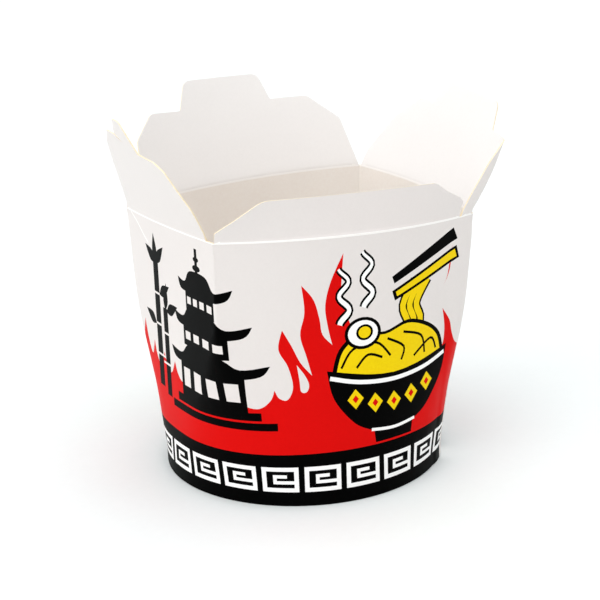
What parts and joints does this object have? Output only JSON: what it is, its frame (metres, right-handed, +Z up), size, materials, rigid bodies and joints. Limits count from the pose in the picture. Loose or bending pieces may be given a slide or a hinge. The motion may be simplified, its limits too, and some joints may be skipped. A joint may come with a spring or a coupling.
{
  "type": "kebab box",
  "caption": "Empty open paperboard takeaway box with a round base, a square bulged mouth and hinged top flaps that close over it.",
  "frame": {"origin": "on the surface the box stands on, below the middle of its outer size", "axes": "+Z up, +X along the wider front from the left flap to the right flap, -Y towards the short front flap"},
  "size_m": [0.137, 0.1116, 0.1299],
  "materials": {
    "printed_board": "clay-coated white paperboard with a satin printed outside",
    "white_board": "satin white paperboard with cream cut edges",
    "base_board": "matte coated paperboard"
  },
  "bodies": {
    "box": {"wall": "printed_board", "base_disc": "base_board"},
    "front_flap": {"flap_front": "white_board"},
    "right_flap": {"flap_right": "white_board"},
    "back_flap": {"flap_back": "white_board"},
    "left_flap": {"flap_left": "white_board"}
  },
  "joints": [
    {"name": "front_crease", "type": "hinge", "parent": "box", "child": "front_flap", "pos_m": [-0.00737, -0.04616, 0.09213], "axis": [-0.9988, 0.0301, 0.0378], "range_deg": [0, 120]},
    {"name": "right_crease", "type": "hinge", "parent": "box", "child": "right_flap", "pos_m": [0.04022, -0.00716, 0.09213], "axis": [-0.0825, -0.9957, -0.0413], "range_deg": [0, 112]},
    {"name": "back_crease", "type": "hinge", "parent": "box", "child": "back_flap", "pos_m": [-0.00403, 0.03318, 0.092], "axis": [0.9993, 0, 0.0378], "range_deg": [0, 82]},
    {"name": "left_crease", "type": "hinge", "parent": "box", "child": "left_flap", "pos_m": [-0.05163, -0.00582, 0.092], "axis": [0, 0.9989, -0.0461], "range_deg": [0, 86]}
  ]
}
